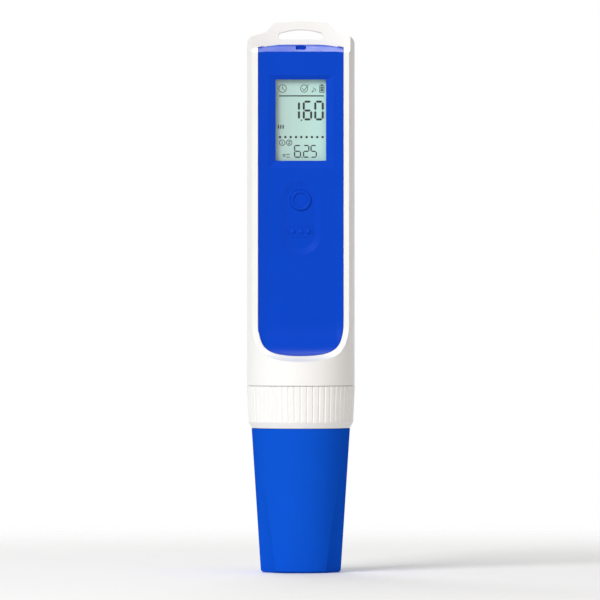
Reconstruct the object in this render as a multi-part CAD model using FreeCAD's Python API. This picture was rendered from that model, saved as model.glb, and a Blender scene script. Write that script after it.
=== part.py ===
import FreeCAD, Part
import math
import os

from FreeCAD import Vector

# Frame: millimetres, +Z up along the pen, origin at the middle of the storage cap's flat base.
# The display and the keys face -Y.

# Storage cap
CAP_LENGTH = 49.65
CAP_STEP = 1.6
CAP_DRAFT = 3.2
CAP_EDGE_RADIUS = 1.0
CAP_FLOOR = 2.0
CAP_WALL = 2.9
CAP_LIP_WALL = 2.15
CAP_SEAL_STEP = 0.65
CAP_SEAL_DEPTH = 13.6
FINGER_SCOOP_COUNT = 3
FINGER_SCOOP_AZIMUTH = 60.0
FINGER_SCOOP_RADIUS = 20.0
FINGER_SCOOP_DEPTH = 1.6
FINGER_SCOOP_HEIGHT = 32.0
SPONGE_THICKNESS = 7.4
SPONGE_CLEARANCE = 0.2

# Screw collar
CAP_GAP = 0.15
COLLAR_HEIGHT = 14.5
COLLAR_PROUD = 0.05
COLLAR_TAPER = 0.55
COLLAR_CHAMFER = 2.1
COLLAR_LIP = 1.9
COLLAR_LIP_CLEARANCE = 0.2
GROOVE_COUNT = 54
GROOVE_WIDTH = 0.8
GROOVE_DEPTH = 0.35

# Housing
SEAM_GAP = 0.15
HOUSING_LENGTH = 125.55
BODY_RADIUS = 18.6
WALL = 2.4
FACE_Y = -8.2
FACE_TIP_RISE = 8.3
FACE_SCOOP_RADIUS = 14.2
SPIGOT_STEP = 3.3
SPIGOT_WALL = 2.8
THREAD_DEPTH = 0.6
THREAD_CLEARANCE = 0.1
SOCKET_SHOULDER_RISE = 3.55
SOCKET_LEDGE = 2.0
SOCKET_GAP = 1.0
CAVITY_FLOOR_RISE = 9.5
CAVITY_ROOF = 12.5
FRONT_WALL = 1.6

# Lanyard loop at the top
SHOULDER_DROP = 5.7
SHOULDER_RADIUS = 3.0
LOOP_ROOT_HALF = 12.1
LOOP_ROOT_DROP = 3.6
LOOP_ROOT_RADIUS = 2.5
LOOP_TOP_HALF = 8.9
LOOP_CROWN = 0.4
LOOP_CORNER_RADIUS = 3.0
LOOP_CROWN_RADIUS = 60.0
SLOT_HALF = 7.65
SLOT_FLOOR_DROP = 6.1
SLOT_SIDE = 2.2
SLOT_APEX = 3.95
SLOT_CORNER_RADIUS = 1.1
SLOT_ARCH_RADIUS = 22.0
LOOP_FRONT_Y = -5.2
LOOP_BACK_Y = 1.6
LOOP_FLAT_HALF = 5.0
LOOP_FLANK_RADIUS = 36.6
HIP_DROP = 8.0
HIP_RADIUS = 11.0
HIP_ROOT_DROP = 3.6
HIP_ROOT_RADIUS = 3.0

# Front panel
RIM = 2.02
PANEL_BEND_DROP = 10.6
PANEL_RECESS = 0.4
PANEL_EDGE_RECESS = 0.15
PANEL_EDGE_SLOPE = 2.4
PANEL_THICKNESS = 1.75
PANEL_SIDE_GAP = 0.1
PANEL_BACK_GAP = 0.1
PANEL_TOP_HEIGHT = 1.0
NOTCH_HALF = 1.75
NOTCH_HEIGHT = 1.4
NOTCH_RISE = 0.9
NOTCH_RADIUS = 0.5
NOTCH_DEPTH = 0.5
OUTLINE_STEPS = 7
GASKET_THICKNESS = 0.6
GASKET_WIDTH = 1.2
APERTURE_HALF = 12.2
APERTURE_DROP = 2.6
APERTURE_RADIUS = 1.5

# Display
WINDOW_HALF = 8.7
WINDOW_HEIGHT = 28.0
WINDOW_DROP = 9.4
WINDOW_CORNER = 0.3
BEZEL_SIDE = 2.6
BEZEL_TOP = 1.4
BEZEL_BOTTOM = 2.65
BEZEL_DEPTH = 0.8
PANE_OVERLAP = 1.5
PANE_THICKNESS = 1.0
LCD_OVERLAP = 1.1
LCD_END = 3.4
LCD_THICKNESS = 1.8
LCD_GAP = 0.1
GUIDE_THICKNESS = 1.2
STRIP_WIDTH = 2.4
FRAME_WALL = 1.1
FIT_GAP = 0.1

# Keys
RECESS_HALF = 6.9
RECESS_LENGTH = 25.8
RECESS_DROP = 6.7
RECESS_DEPTH = 0.5
RECESS_SLOPE = 2.2
MODE_KEY_RADIUS = 3.55
MODE_DISH_RADIUS = 2.45
MODE_DISH_DEPTH = 0.4
MODE_KEY_PROUD = 0.5
KEY_EDGE_RADIUS = 0.3
LOWER_KEY_DROP = 17.8
LOWER_KEY_HALF = 4.3
LOWER_KEY_END_RADIUS = 1.9
BUMP_PITCH = 2.65
BUMP_RADIUS = 0.95
BUMP_PROUD = 0.5
KEY_GAP = 0.05
KEY_TRAVEL_GAP = 0.12
KEY_SEAT_GAP = 0.05
KEY_FLANGE = 0.9
KEY_FLANGE_THICKNESS = 0.8
KEY_POST_RADIUS = 1.5
PLUNGER_RADIUS = 1.7
PLUNGER_PROUD = 0.6
PLUNGER_LENGTH = 1.2
SWITCH_SIDE = 6.0
SWITCH_CLEARANCE = 0.06

# Circuit board
BOARD_HALF = 11.8
BOARD_THICKNESS = 1.6
BOARD_LENGTH = 80.5
BOARD_END_GAP = 0.6
CHIP_THICKNESS = 1.1
CHIP_SIDE = 5.5
CHIP_RISE = 3.0
CHIP_PITCH = 12.0
CONVERTER_WIDTH = 9.0
PROCESSOR_WIDTH = 6.0
RADIO_WIDTH = 5.0
BOARD_SCREW_SIDE = 9.5
BOARD_SCREW_RISE = 5.0
BOARD_SCREW_PITCH = 32.0
BOARD_SCREW_RADIUS = 0.95
BOARD_SCREW_HEAD_RADIUS = 1.8
BOARD_SCREW_HEAD = 1.2
BOARD_SCREW_BITE = 2.6

# Battery tray and cells
CELL_RADIUS = 5.25
CELL_LENGTH = 44.5
CELL_NUB = 1.0
CELL_NUB_RADIUS = 1.9
CELL_SIDE = 5.4
CELL_CLEARANCE = 0.15
TRAY_HALF = 11.6
TRAY_BASE_GAP = 1.9
TRAY_BASE = 0.75
TRAY_REAR = 3.4
TRAY_WALL = 1.5
TRAY_OVERHANG = 3.75
SPRING_LENGTH = 3.0
SPRING_TURNS = 4
SPRING_RADIUS = 3.9
SPRING_TURN_STEP = 0.6
SPRING_WIRE = 0.9
SPRING_WIRE_SHARE = 0.7
PLATE_THICKNESS = 0.6
PLATE_HALF = 3.6
POST_RADIUS = 2.2

# Battery door
DOOR_HALF = 12.9
DOOR_SKIN = 0.9
DOOR_GASKET = 0.4
DOOR_GAP = 0.1
DOOR_HOLE_HALF = 10.8
DOOR_HOLE_MARGIN = 1.0
DOOR_END = 9.0
DOOR_PLUG_DEPTH = 2.0
DOOR_PLUG_WALL = 1.2
DOOR_SCREW_INSET = 4.0
DOOR_PAD_RADIUS = 3.3
DOOR_PAD_DEPTH = 3.0
DOOR_BOSS_RADIUS = 4.4
DOOR_BOSS_DEPTH = 4.3
SCREW_RADIUS = 0.95
SCREW_LENGTH = 5.0
SCREW_HEAD_RADIUS = 2.1
SCREW_HEAD = 1.3
SCREW_HEAD_DEPTH = 0.3
SCREW_SLOT_WIDTH = 0.7
SCREW_SLOT_DEPTH = 0.5
COUNTERBORE_GAP = 0.2
INSERT_RADIUS = 1.75
INSERT_LENGTH = 3.9
INSERT_CLEARANCE = 0.05

# Probe
FLANGE_THICKNESS = 2.85
FLANGE_CLEARANCE = 0.15
FLANGE_SEAT_GAP = 0.05
NECK_CLEARANCE = 0.55
NECK_LENGTH = 11.8
PLUG_CLEARANCE = 0.3
PLUG_LENGTH = 7.9
PLUG_CHAMFER = 0.8
RING_THICKNESS = 1.7
RING_CLEARANCE = 0.05
RING_GROOVE_WIDTH = 2.0
RING_SIDES = 12
PLUG_RING_RISE = 3.4
CAP_RING_DROP = 7.8
CORE_STEP = 4.2
CORE_LENGTH = 10.0
GUARD_WALL = 1.35
GUARD_CLEARANCE = 0.05
GUARD_LENGTH = 24.0
GUARD_WINDOW_COUNT = 3
GUARD_WINDOW_WIDTH = 8.0
GUARD_WINDOW_RISE = 3.5
GUARD_WINDOW_HEIGHT = 9.5
PIN_COUNT = 6
PIN_CIRCLE = 5.0
PIN_RADIUS = 0.5
PIN_CLEARANCE = 0.1
PIN_LENGTH = 5.0
PIN_ROOT = 1.5
GLASS_X = -5.2
GLASS_STEM_RADIUS = 2.9
GLASS_BULB_RADIUS = 3.3
GLASS_WALL = 0.5
GLASS_DROP = 8.5
GLASS_DEPTH = 16.0
SENSOR_CLEARANCE = 0.05
WIRE_RADIUS = 0.3
JUNCTION_RADIUS = 1.6
JUNCTION_DROP = 1.2
JUNCTION_DEPTH = 3.0
CELL_PIN_RADIUS = 1.0
CELL_PIN_DROP = 7.0
CELL_PIN_DEPTH = 6.0
CELL_PIN_X = 6.5
CELL_PIN_SIDE = 2.0
THERMISTOR_RADIUS = 1.5
THERMISTOR_DROP = 9.0
THERMISTOR_DEPTH = 8.0
SIDE_SENSOR_X = 1.8
SIDE_SENSOR_Y = 6.5

# Wiring between the probe socket and the board
RIBBON_HALF = 4.0
RIBBON_THICKNESS = 0.3
RIBBON_LAP = 3.0

# Radii that follow from the body's radius
CAP_TOP_RADIUS = BODY_RADIUS - CAP_STEP
CAP_BASE_RADIUS = CAP_TOP_RADIUS - CAP_DRAFT
CAP_BORE_BASE_RADIUS = CAP_BASE_RADIUS - CAP_WALL
CAP_SEAL_RADIUS = CAP_TOP_RADIUS - CAP_LIP_WALL
CAP_BORE_NECK_RADIUS = CAP_SEAL_RADIUS - CAP_SEAL_STEP
COLLAR_FOOT_RADIUS = CAP_TOP_RADIUS
COLLAR_TOP_RADIUS = BODY_RADIUS + COLLAR_PROUD
COLLAR_WAIST_RADIUS = COLLAR_TOP_RADIUS - COLLAR_TAPER
SPIGOT_RADIUS = BODY_RADIUS - SPIGOT_STEP
COLLAR_BORE_RADIUS = SPIGOT_RADIUS + THREAD_DEPTH + THREAD_CLEARANCE
SOCKET_BORE_RADIUS = SPIGOT_RADIUS - SPIGOT_WALL
WIRE_WELL_RADIUS = SOCKET_BORE_RADIUS - SOCKET_LEDGE
PLUG_RADIUS = SOCKET_BORE_RADIUS - PLUG_CLEARANCE
NECK_RADIUS = CAP_SEAL_RADIUS - NECK_CLEARANCE
CORE_RADIUS = NECK_RADIUS - CORE_STEP
GUARD_RADIUS = CORE_RADIUS + GUARD_CLEARANCE + GUARD_WALL

# Heights and depths that follow from the sizes above
COLLAR_Z = CAP_LENGTH + CAP_GAP
COLLAR_TOP_Z = COLLAR_Z + COLLAR_HEIGHT
HOUSING_Z = COLLAR_TOP_Z + SEAM_GAP
TOP_Z = HOUSING_Z + HOUSING_LENGTH
FLANGE_Z = COLLAR_Z + COLLAR_LIP + FLANGE_SEAT_GAP
FLANGE_TOP_Z = FLANGE_Z + FLANGE_THICKNESS
NECK_Z = FLANGE_Z - NECK_LENGTH
CORE_Z = NECK_Z - CORE_LENGTH
PLUG_TOP_Z = FLANGE_TOP_Z + PLUG_LENGTH
SPIGOT_Z = FLANGE_TOP_Z + FLANGE_CLEARANCE
LIP_RADIUS = NECK_RADIUS + COLLAR_LIP_CLEARANCE
SHOULDER_Z = HOUSING_Z + SOCKET_SHOULDER_RISE
CAVITY_Z = HOUSING_Z + CAVITY_FLOOR_RISE
CAVITY_TOP_Z = TOP_Z - CAVITY_ROOF
CAVITY_RADIUS = BODY_RADIUS - WALL
FACE_HALF = math.sqrt(BODY_RADIUS ** 2 - FACE_Y ** 2)
FACE_TIP_Z = HOUSING_Z + FACE_TIP_RISE
FACE_SCOOP_REACH = FACE_SCOOP_RADIUS - (BODY_RADIUS + FACE_Y)
FACE_SCOOP_Z = FACE_TIP_Z + math.sqrt(FACE_SCOOP_RADIUS ** 2 - FACE_SCOOP_REACH ** 2)
FACE_SCOOP_Y = FACE_Y - FACE_SCOOP_RADIUS
BEND_Z = TOP_Z - PANEL_BEND_DROP
PANEL_Y = FACE_Y + PANEL_RECESS
PANEL_BACK_Y = PANEL_Y + PANEL_THICKNESS
POCKET_Y = PANEL_BACK_Y + PANEL_BACK_GAP
FRONT_WALL_Y = POCKET_Y + FRONT_WALL
PANEL_HALF = FACE_HALF - RIM
PANEL_TOP_Z = BEND_Z - PANEL_TOP_HEIGHT
APERTURE_TOP_Z = BEND_Z - APERTURE_DROP
APERTURE_Z = FACE_SCOOP_Z + APERTURE_DROP
WINDOW_TOP_Z = BEND_Z - WINDOW_DROP
WINDOW_Z = WINDOW_TOP_Z - WINDOW_HEIGHT
RECESS_TOP_Z = WINDOW_Z - RECESS_DROP
RECESS_Z = RECESS_TOP_Z - RECESS_LENGTH
MODE_KEY_Z = RECESS_TOP_Z - RECESS_HALF
LOWER_KEY_Z = RECESS_TOP_Z - LOWER_KEY_DROP
RECESS_Y = PANEL_Y + RECESS_DEPTH
PANE_BACK_Y = PANEL_BACK_Y + PANE_THICKNESS
LCD_Y = PANE_BACK_Y + LCD_GAP
LCD_BACK_Y = LCD_Y + LCD_THICKNESS
BOARD_Y = LCD_BACK_Y + GUIDE_THICKNESS
BOARD_BACK_Y = BOARD_Y + BOARD_THICKNESS
BOARD_TOP_Z = APERTURE_TOP_Z - BOARD_END_GAP
BOARD_Z = BOARD_TOP_Z - BOARD_LENGTH
LCD_HALF = WINDOW_HALF + LCD_OVERLAP
LCD_Z = WINDOW_Z - LCD_END
LCD_TOP_Z = WINDOW_TOP_Z + LCD_END
TRAY_Y = BOARD_BACK_Y + TRAY_BASE_GAP
CELL_Y = TRAY_Y + TRAY_BASE + CELL_RADIUS + CELL_CLEARANCE
TRAY_BACK_Y = CELL_Y + TRAY_REAR
CELL_BAY = SPRING_LENGTH + CELL_LENGTH + PLATE_THICKNESS
TRAY_Z = BOARD_Z - TRAY_OVERHANG
BAY_Z = TRAY_Z + TRAY_WALL
BAY_TOP_Z = BAY_Z + CELL_BAY
TRAY_TOP_Z = BAY_TOP_Z + TRAY_WALL
DOOR_HOLE_Z = TRAY_Z - DOOR_HOLE_MARGIN
DOOR_HOLE_TOP_Z = TRAY_TOP_Z + DOOR_HOLE_MARGIN
DOOR_Z = DOOR_HOLE_Z - DOOR_END
DOOR_TOP_Z = DOOR_HOLE_TOP_Z + DOOR_END
DOOR_BACK_RADIUS = BODY_RADIUS - DOOR_SKIN
DOOR_SEAT_RADIUS = DOOR_BACK_RADIUS - DOOR_GASKET
DOOR_PAD_Y = BODY_RADIUS - DOOR_PAD_DEPTH
DOOR_BOSS_Y = DOOR_PAD_Y - DOOR_BOSS_DEPTH
DOOR_SCREW_HEIGHTS = (DOOR_Z + DOOR_SCREW_INSET, DOOR_TOP_Z - DOOR_SCREW_INSET)
SCREW_HEAD_Y = BODY_RADIUS - SCREW_HEAD_DEPTH - SCREW_HEAD
BOARD_SCREW_HEIGHTS = (BOARD_Z + BOARD_SCREW_RISE, BOARD_Z + BOARD_SCREW_RISE + BOARD_SCREW_PITCH)
CAP_TAPER = (CAP_TOP_RADIUS - CAP_BASE_RADIUS) / CAP_LENGTH
RING_RADIUS = RING_THICKNESS / 2
FAR = 60.0
OVER = 1.0
EDGE_OVERLAP = 0.1
ROUND_END_FLAT = 0.01
TOUCH = 0.001


def block(x0, x1, y0, y1, z0, z1):
    """Box between two corners."""
    return Part.makeBox(x1 - x0, y1 - y0, z1 - z0, Vector(x0, y0, z0))


def post(radius, z0, z1, x=0.0, y=0.0):
    """Round post along Z."""
    return Part.makeCylinder(radius, z1 - z0, Vector(x, y, z0), Vector(0, 0, 1))


def stud(radius, y0, y1, x, z):
    """Round post along Y."""
    return Part.makeCylinder(radius, y1 - y0, Vector(x, y0, z), Vector(0, 1, 0))


def turned(profile):
    """Solid of revolution about Z from (radius, height) corners."""
    points = [Vector(radius, 0, height) for radius, height in profile]
    face = Part.Face(Part.makePolygon(points + points[:1]))
    return face.revolve(Vector(0, 0, 0), Vector(0, 0, 1), 360)


def rounded_outline(corners, place):
    """Closed outline of straight runs and tangent arcs from (u, v, radius) corners."""
    edges = []
    firsts = []
    lasts = []
    middles = []
    for index, (u, v, radius) in enumerate(corners):
        before = corners[index - 1]
        after = corners[(index + 1) % len(corners)]
        corner = Vector(u, v, 0)
        back = (Vector(before[0], before[1], 0) - corner).normalize()
        ahead = (Vector(after[0], after[1], 0) - corner).normalize()
        half = back.getAngle(ahead) / 2
        reach = radius / math.tan(half)
        middle = (back + ahead).normalize()
        firsts.append(corner + back * reach)
        lasts.append(corner + ahead * reach)
        middles.append(corner + middle * (radius / math.sin(half) - radius))
    for index, (u, v, radius) in enumerate(corners):
        start = place(firsts[index].x, firsts[index].y)
        end = place(lasts[index].x, lasts[index].y)
        if radius > 0:
            middle = place(middles[index].x, middles[index].y)
            edges.append(Part.Arc(start, middle, end).toShape())
        following = firsts[(index + 1) % len(corners)]
        edges.append(Part.LineSegment(end, place(following.x, following.y)).toShape())
    return Part.Wire(edges)


def front_prism(corners, y0, y1):
    """Prism along Y over an outline in the front view."""
    wire = rounded_outline(corners, lambda x, z: Vector(x, y0, z))
    return Part.Face(wire).extrude(Vector(0, y1 - y0, 0))


def side_prism(corners, half):
    """Prism along X over an outline in the side view."""
    wire = rounded_outline(corners, lambda y, z: Vector(-half, y, z))
    return Part.Face(wire).extrude(Vector(2 * half, 0, 0))


def rectangle(half, z0, z1, radius):
    """Corners of an upright rectangle with rounded corners."""
    return [(-half, z0, radius), (half, z0, radius), (half, z1, radius), (-half, z1, radius)]


def mirrored(corners):
    """Right-hand corners from bottom to top, completed with their mirror images."""
    left = [(-u, v, radius) for u, v, radius in reversed(corners) if u > 0]
    return corners + left


def ring(outer_radius, z):
    """Seal ring whose outer edge lies at the given radius, with a near-round section."""
    middle = outer_radius - RING_RADIUS
    angles = [2 * math.pi * side / RING_SIDES for side in range(RING_SIDES)]
    return turned([(middle + RING_RADIUS * math.cos(angle), z + RING_RADIUS * math.sin(angle))
                   for angle in angles])


def face_slab(depth, thickness):
    """Curved slab that lies behind the face by a depth: flat above, swept forward at its foot."""
    near = FACE_SCOOP_RADIUS + depth
    far = near + thickness
    slab = block(-FAR, FAR, FACE_Y + depth, FACE_Y + depth + thickness, FACE_SCOOP_Z, TOP_Z)
    below = block(-FAR, FAR, FACE_SCOOP_Y, FAR, FACE_SCOOP_Z - far, FACE_SCOOP_Z)
    foot = face_foot(far).cut(face_foot(near)).common(below)
    return slab.fuse(foot).removeSplitter()


def face_foot(radius):
    """Lying cylinder that sweeps the lower end of the face forward."""
    axis = Vector(-FAR, FACE_SCOOP_Y, FACE_SCOOP_Z)
    return Part.makeCylinder(radius, 2 * FAR, axis, Vector(1, 0, 0))


def crease_point(angle):
    """Point of the face's lower edge, where the swept foot leaves the round body."""
    y = FACE_SCOOP_Y + FACE_SCOOP_RADIUS * math.cos(angle)
    half = math.sqrt(max(BODY_RADIUS ** 2 - y ** 2, 0.0))
    return Vector(half, 0, FACE_SCOOP_Z - FACE_SCOOP_RADIUS * math.sin(angle))


def panel_prism(grow, y0, y1):
    """Prism over the panel's outline, which follows the face's edge at the rim's width."""
    last = math.acos(FACE_SCOOP_REACH / FACE_SCOOP_RADIUS)
    nudge = last / 200
    inset = RIM - grow
    points = []
    for step in range(OUTLINE_STEPS):
        angle = last * math.sin(step / OUTLINE_STEPS * math.pi / 2)
        tangent = crease_point(angle + nudge) - crease_point(max(angle - nudge, 0.0))
        tangent.normalize()
        points.append(crease_point(angle) + Vector(tangent.z, 0, -tangent.x) * inset)
    points[0] = Vector(FACE_HALF - inset, 0, FACE_SCOOP_Z)
    left = [Vector(-point.x, 0, point.z) for point in reversed(points)]
    points = points + [Vector(0, 0, FACE_TIP_Z + inset)] + left
    curve = Part.BSplineCurve()
    curve.interpolate(Points=points, InitialTangent=Vector(0, 0, -1), FinalTangent=Vector(0, 0, 1))
    corners = [points[-1], Vector(points[-1].x, 0, TOP_Z), Vector(points[0].x, 0, TOP_Z), points[0]]
    wire = Part.Wire([curve.toShape()] + Part.makePolygon(corners).Edges)
    wire.translate(Vector(0, y0, 0))
    return Part.Face(wire).extrude(Vector(0, y1 - y0, 0))


def above_bevel(gap):
    """Everything above the sloping end of the face, which rises backwards at 45 degrees."""
    low = BEND_Z - gap * math.sqrt(2)
    corners = [(FACE_Y - FAR, low - FAR, 0), (FACE_Y + FAR, low + FAR, 0), (FACE_Y - FAR, low + FAR, 0)]
    return side_prism(corners, FAR)


def before_loop(gap):
    """Space in front of the loop by a gap: flat in the middle, with flanks that curve forward."""
    front_y = LOOP_FRONT_Y - gap
    radius = LOOP_FLANK_RADIUS
    space = block(-LOOP_FLAT_HALF, LOOP_FLAT_HALF, -FAR, front_y, BEND_Z - FAR, TOP_Z + OVER)
    for side in (-1, 1):
        flank = post(radius, BEND_Z - FAR, TOP_Z + OVER, side * LOOP_FLAT_HALF, front_y - radius)
        space = space.fuse(flank)
    return space


def panel_top(grow, gap):
    """Thick top end of the panel, which runs back to the loop under the bevel."""
    top = block(-FAR, FAR, FACE_Y, LOOP_FRONT_Y, PANEL_TOP_Z - grow, TOP_Z)
    return top.common(panel_prism(grow, -FAR, 0)).common(before_loop(gap))


def panel_dish():
    """Space before the panel: flat in the middle, rising in a slope to both side edges."""
    edge_y = FACE_Y + PANEL_EDGE_RECESS
    inner = PANEL_HALF - PANEL_EDGE_SLOPE
    corners = [
        Vector(-PANEL_HALF, edge_y, FACE_SCOOP_Z),
        Vector(-inner, PANEL_Y, FACE_SCOOP_Z),
        Vector(inner, PANEL_Y, FACE_SCOOP_Z),
        Vector(PANEL_HALF, edge_y, FACE_SCOOP_Z),
        Vector(PANEL_HALF, FACE_Y - OVER, FACE_SCOOP_Z),
        Vector(-PANEL_HALF, FACE_Y - OVER, FACE_SCOOP_Z),
    ]
    section = Part.Face(Part.makePolygon(corners + corners[:1]))
    flat = section.extrude(Vector(0, 0, TOP_Z - FACE_SCOOP_Z))
    foot = section.revolve(Vector(0, FACE_SCOOP_Y, FACE_SCOOP_Z), Vector(1, 0, 0), -90)
    return flat.fuse(foot)


def loop_outline():
    """Front view of the housing: straight sides, shoulders and the loop."""
    edge = BODY_RADIUS + EDGE_OVERLAP
    lean = math.atan(LOOP_CROWN / LOOP_TOP_HALF)
    apex = TOP_Z + LOOP_CROWN_RADIUS * (1 / math.cos(lean) - 1)
    return mirrored([
        (edge, SPIGOT_Z - OVER, 0),
        (edge, TOP_Z - SHOULDER_DROP, SHOULDER_RADIUS),
        (LOOP_ROOT_HALF, TOP_Z - LOOP_ROOT_DROP, LOOP_ROOT_RADIUS),
        (LOOP_TOP_HALF, apex - LOOP_CROWN, LOOP_CORNER_RADIUS),
        (0, apex, LOOP_CROWN_RADIUS),
    ])


def slot_outline():
    """Front view of the lanyard slot: a flat floor under a low arch."""
    floor = TOP_Z - SLOT_FLOOR_DROP
    return mirrored([
        (SLOT_HALF, floor, SLOT_CORNER_RADIUS),
        (SLOT_HALF, floor + SLOT_SIDE, SLOT_CORNER_RADIUS),
        (0, floor + SLOT_APEX, SLOT_ARCH_RADIUS),
    ])


def hip_outline():
    """Side view of what the back of the housing loses above its hip."""
    return [
        (BODY_RADIUS + EDGE_OVERLAP, TOP_Z - FAR, 0),
        (BODY_RADIUS + FAR, TOP_Z - FAR, 0),
        (BODY_RADIUS + FAR, TOP_Z + OVER, 0),
        (LOOP_BACK_Y, TOP_Z + OVER, 0),
        (LOOP_BACK_Y, TOP_Z - HIP_ROOT_DROP, HIP_ROOT_RADIUS),
        (BODY_RADIUS + EDGE_OVERLAP, TOP_Z - HIP_DROP, HIP_RADIUS),
    ]


def door_sector(outer, inner, half, z0, z1):
    """Curved plate at the back of the body, cut straight along its sides."""
    shell = post(outer, z0, z1).cut(post(inner, z0 - OVER, z1 + OVER))
    return shell.common(block(-half, half, 0, FAR, z0, z1))


def housing():
    """One-piece white housing with its face, loop, cavity, door opening and threaded spigot."""
    body = post(BODY_RADIUS, HOUSING_Z, TOP_Z + OVER)
    body = body.common(front_prism(loop_outline(), -FAR, FAR))
    body = body.cut(side_prism(hip_outline(), FAR))
    before_face = block(-FAR, FAR, -FAR, FACE_Y, FACE_SCOOP_Z, TOP_Z + OVER)
    body = body.cut(face_foot(FACE_SCOOP_RADIUS).fuse(before_face))
    body = body.cut(before_loop(0.0).common(above_bevel(0.0)))
    body = body.cut(front_prism(slot_outline(), -FAR, FAR))
    body = body.fuse(post(SPIGOT_RADIUS, SPIGOT_Z, HOUSING_Z))
    body = body.cut(post(SOCKET_BORE_RADIUS, SPIGOT_Z - OVER, SHOULDER_Z))
    body = body.cut(post(WIRE_WELL_RADIUS, SHOULDER_Z - OVER, CAVITY_Z + OVER))
    cavity = post(CAVITY_RADIUS, CAVITY_Z, CAVITY_TOP_Z)
    body = body.cut(cavity.common(block(-FAR, FAR, FRONT_WALL_Y, FAR, CAVITY_Z, CAVITY_TOP_Z)))
    pocket = face_slab(-RIM, PANEL_RECESS + RIM + PANEL_THICKNESS + PANEL_BACK_GAP)
    pocket = pocket.common(panel_prism(PANEL_SIDE_GAP, -FAR, 0))
    pocket = pocket.fuse(panel_top(PANEL_SIDE_GAP, 0.0)).cut(above_bevel(0.0))
    body = body.cut(pocket)
    opening = rectangle(APERTURE_HALF, APERTURE_Z, APERTURE_TOP_Z, APERTURE_RADIUS)
    body = body.cut(front_prism(opening, POCKET_Y - OVER, FRONT_WALL_Y + OVER))
    body = body.cut(gasket_groove())
    for height in DOOR_SCREW_HEIGHTS:
        body = body.fuse(stud(DOOR_BOSS_RADIUS, DOOR_BOSS_Y, BODY_RADIUS - WALL / 2, 0, height))
    body = body.cut(door_sector(FAR, DOOR_SEAT_RADIUS, DOOR_HALF + DOOR_GAP, DOOR_Z - DOOR_GAP,
                                DOOR_TOP_Z + DOOR_GAP))
    body = body.cut(block(-DOOR_HOLE_HALF, DOOR_HOLE_HALF, CELL_Y, FAR, DOOR_HOLE_Z, DOOR_HOLE_TOP_Z))
    for height in DOOR_SCREW_HEIGHTS:
        body = body.cut(stud(DOOR_PAD_RADIUS + DOOR_GAP, DOOR_PAD_Y - DOOR_GAP, FAR, 0, height))
        body = body.cut(stud(INSERT_RADIUS, DOOR_PAD_Y - DOOR_GAP - INSERT_LENGTH, FAR, 0, height))
    return body.removeSplitter()


def gasket_groove():
    """Rectangular groove round the front opening, in the floor of the panel's pocket."""
    outer_half = APERTURE_HALF + GASKET_WIDTH
    outer = rectangle(outer_half, APERTURE_Z - GASKET_WIDTH, APERTURE_TOP_Z + GASKET_WIDTH,
                      APERTURE_RADIUS + GASKET_WIDTH)
    inner = rectangle(APERTURE_HALF, APERTURE_Z, APERTURE_TOP_Z, APERTURE_RADIUS)
    band = front_prism(outer, PANEL_BACK_Y, PANEL_BACK_Y + GASKET_THICKNESS)
    return band.cut(front_prism(inner, -FAR, FAR))


def face_panel():
    """Blue front panel with a bevelled top, a sloped bezel and a dished key recess."""
    depth = PANEL_RECESS - PANEL_EDGE_RECESS
    panel = face_slab(PANEL_EDGE_RECESS, PANEL_THICKNESS + depth).common(panel_prism(0.0, -FAR, 0))
    panel = panel.fuse(panel_top(0.0, PANEL_BACK_GAP))
    panel = panel.cut(panel_dish()).cut(above_bevel(PANEL_EDGE_RECESS))
    panel = panel.cut(panel_notch())
    window = rectangle(WINDOW_HALF, WINDOW_Z, WINDOW_TOP_Z, WINDOW_CORNER)
    panel = panel.cut(front_prism(window, PANEL_Y - OVER, PANEL_BACK_Y + OVER))
    panel = panel.cut(bezel_cutter())
    panel = panel.cut(recess_cutter())
    panel = panel.cut(stud(MODE_KEY_RADIUS + KEY_GAP, PANEL_Y - OVER, PANEL_BACK_Y + OVER, 0, MODE_KEY_Z))
    panel = panel.cut(lower_key_plate(KEY_GAP, PANEL_Y - OVER, PANEL_BACK_Y + OVER))
    return panel.removeSplitter()


def panel_notch():
    """Small round-cornered notch in the middle of the panel's bevel."""
    low = BEND_Z + NOTCH_RISE
    outline = rectangle(NOTCH_HALF, low, low + NOTCH_HEIGHT, NOTCH_RADIUS)
    floor_y = FACE_Y + NOTCH_RISE + NOTCH_HEIGHT + NOTCH_DEPTH
    return front_prism(outline, -FAR, floor_y)


def bezel_cutter():
    """Sloped surround that narrows from the panel's face to the display window."""
    outer = [
        Vector(-WINDOW_HALF - BEZEL_SIDE, PANEL_Y, WINDOW_Z - BEZEL_BOTTOM),
        Vector(WINDOW_HALF + BEZEL_SIDE, PANEL_Y, WINDOW_Z - BEZEL_BOTTOM),
        Vector(WINDOW_HALF + BEZEL_SIDE, PANEL_Y, WINDOW_TOP_Z + BEZEL_TOP),
        Vector(-WINDOW_HALF - BEZEL_SIDE, PANEL_Y, WINDOW_TOP_Z + BEZEL_TOP),
    ]
    inner = [
        Vector(-WINDOW_HALF, PANEL_Y + BEZEL_DEPTH, WINDOW_Z),
        Vector(WINDOW_HALF, PANEL_Y + BEZEL_DEPTH, WINDOW_Z),
        Vector(WINDOW_HALF, PANEL_Y + BEZEL_DEPTH, WINDOW_TOP_Z),
        Vector(-WINDOW_HALF, PANEL_Y + BEZEL_DEPTH, WINDOW_TOP_Z),
    ]
    wires = [Part.makePolygon(corners + corners[:1]) for corners in (outer, inner)]
    return Part.makeLoft(wires, True, True)


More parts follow.
